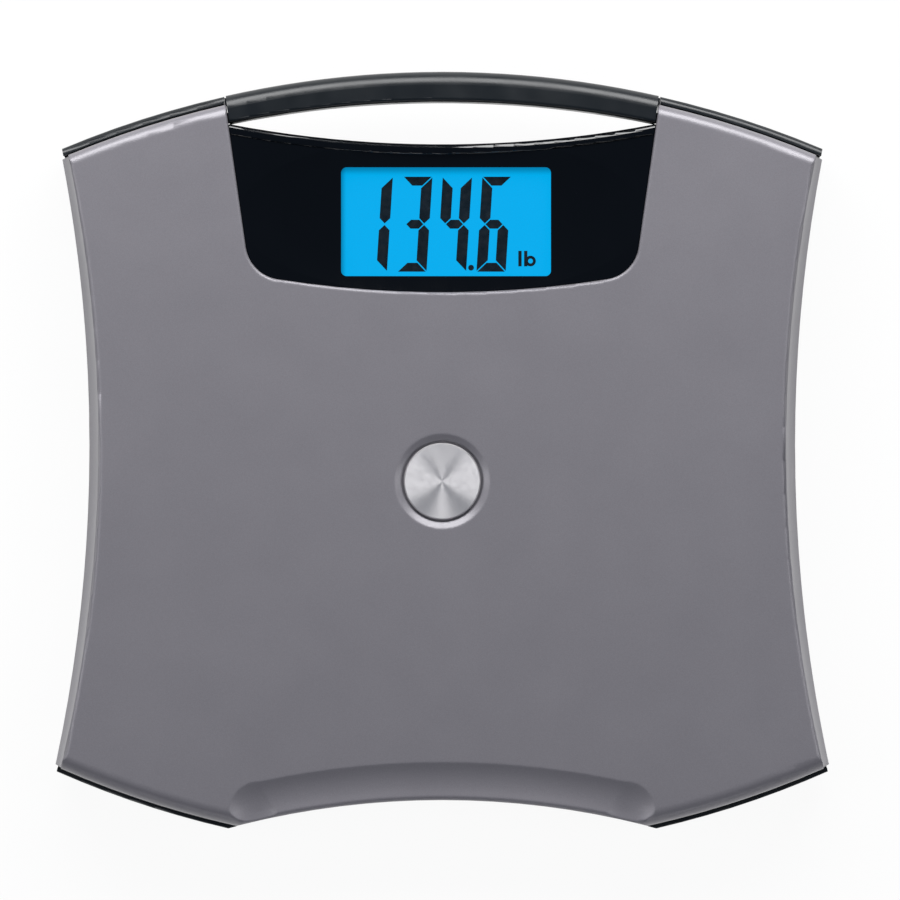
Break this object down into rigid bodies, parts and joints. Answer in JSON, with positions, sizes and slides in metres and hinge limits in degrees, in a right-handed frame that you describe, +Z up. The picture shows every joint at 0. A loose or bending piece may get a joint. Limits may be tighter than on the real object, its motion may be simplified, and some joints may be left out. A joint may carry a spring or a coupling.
{
  "type": "digital bathroom scale",
  "caption": "Electronic bathroom scale with a waisted platform, toe recess, rear carrying handle and a recessed backlit display.",
  "frame": {"origin": "middle of the scale's footprint on the floor", "axes": "+Z up out of the platform, +Y to the rear edge with the display and handle, +X to the right of a person facing the display"},
  "size_m": [0.35, 0.3418, 0.044],
  "materials": {
    "charcoal_plastic": "satin",
    "deck_paint": "satin metallic paint on a plastic moulding",
    "badge_metal": "spun",
    "gloss_black": "gloss",
    "clear_window": "clear",
    "lcd_blue": "lit from behind",
    "lcd_figures": "printed liquid crystal segments",
    "light_guide": "frosted",
    "contact_rubber": "striped",
    "white_plastic": "moulded",
    "board_green": "solder mask",
    "resin_black": "drop",
    "component_body": "moulded",
    "screw_steel": "zinc plated",
    "lead_red": "flat lead",
    "lead_black": "lead",
    "cell_steel": "stamped",
    "gauge_film": "film",
    "foot_plastic": "moulded",
    "pad_rubber": "ringed",
    "battery_label": "wrapped",
    "contact_metal": "nickel plated"
  },
  "bodies": {
    "housing": {"base_tray": "charcoal_plastic", "carry_handle": "charcoal_plastic", "handle_cover": "charcoal_plastic", "handle_screws": "screw_steel", "platform_deck": "deck_paint", "badge_disc": "badge_metal", "display_fascia": "gloss_black", "display_window": "clear_window", "lcd_glass": "lcd_blue", "lcd_segments": "lcd_figures", "backlight_plate": "light_guide", "contact_strip": "contact_rubber", "lcd_holder": "white_plastic", "main_board": "board_green", "chip_resin": "resin_black", "board_components": "component_body", "lead_connector": "white_plastic", "board_screws": "screw_steel", "load_cell_leads": "lead_red", "battery_leads": "lead_black", "load_cells": "cell_steel", "strain_gauges": "gauge_film", "load_cell_carriers": "white_plastic", "carrier_screws": "screw_steel", "deck_screws": "screw_steel", "batteries": "battery_label", "spring_contacts": "contact_metal", "plate_contacts": "contact_metal", "switch_body": "cell_steel", "switch_board": "board_green"},
    "door": {"battery_door": "charcoal_plastic"},
    "selector": {"unit_knob": "white_plastic"},
    "foot_rear_left": {"foot_cup_rear_left": "foot_plastic", "foot_pad_rear_left": "pad_rubber"},
    "foot_rear_right": {"foot_cup_rear_right": "foot_plastic", "foot_pad_rear_right": "pad_rubber"},
    "foot_front_left": {"foot_cup_front_left": "foot_plastic", "foot_pad_front_left": "pad_rubber"},
    "foot_front_right": {"foot_cup_front_right": "foot_plastic", "foot_pad_front_right": "pad_rubber"}
  },
  "joints": [
    {"name": "foot_rear_left_travel", "type": "slide", "parent": "housing", "child": "foot_rear_left", "axis": [0, 0, 1], "range_m": [-0.0008, 0]},
    {"name": "foot_rear_right_travel", "type": "slide", "parent": "housing", "child": "foot_rear_right", "axis": [0, 0, 1], "range_m": [-0.0008, 0]},
    {"name": "foot_front_left_travel", "type": "slide", "parent": "housing", "child": "foot_front_left", "axis": [0, 0, 1], "range_m": [-0.0008, 0]},
    {"name": "foot_front_right_travel", "type": "slide", "parent": "housing", "child": "foot_front_right", "axis": [0, 0, 1], "range_m": [-0.0008, 0]},
    {"name": "battery_door_hinge", "type": "hinge", "parent": "housing", "child": "door", "pos_m": [-0.032, 0.03, 0.0084], "axis": [0, 1, 0], "range_deg": [0, 75]},
    {"name": "unit_selector_slide", "type": "slide", "parent": "housing", "child": "selector", "axis": [1, 0, 0], "range_m": [0, 0.004]}
  ]
}
